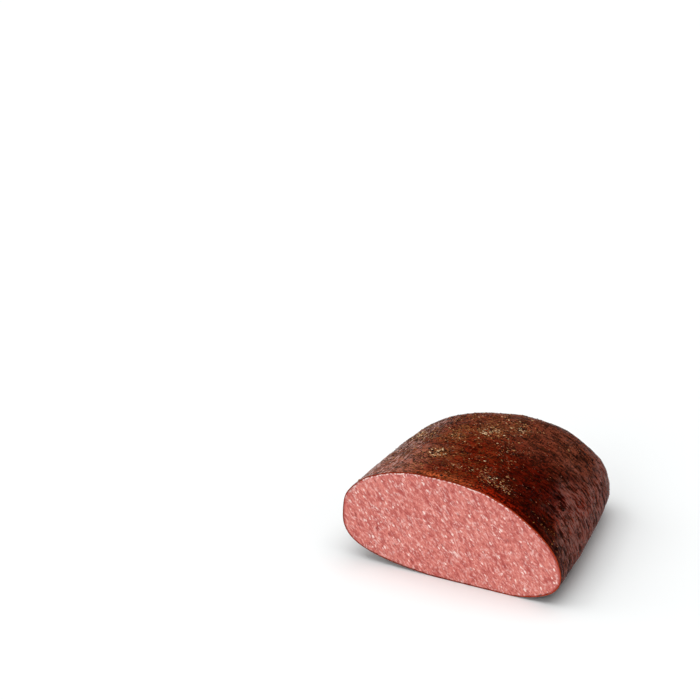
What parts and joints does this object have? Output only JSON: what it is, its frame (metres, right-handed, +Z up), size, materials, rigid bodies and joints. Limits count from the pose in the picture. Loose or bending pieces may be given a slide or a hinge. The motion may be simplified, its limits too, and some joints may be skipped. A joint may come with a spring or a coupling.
{
  "type": "half pastrami loaf",
  "caption": "Half of a cured and smoked pastrami loaf with a dark spice-crusted rind, cut square across to show its pink fine-minced meat.",
  "frame": {"origin": "bottom centre of the loaf's box, on the surface it rests on", "axes": "+X across the cut face to its right end, +Y from the cut face into the loaf, +Z up"},
  "size_m": [0.1748, 0.1592, 0.0847],
  "materials": {
    "rind": "moist dark red-brown smoked rind with a spice crust",
    "meat": "moist cut face of fine-minced pink meat with small pale flecks of fat",
    "spice": "dry ground golden, black and red spices"
  },
  "bodies": {
    "root": {"pastrami": "rind"}
  },
  "joints": []
}
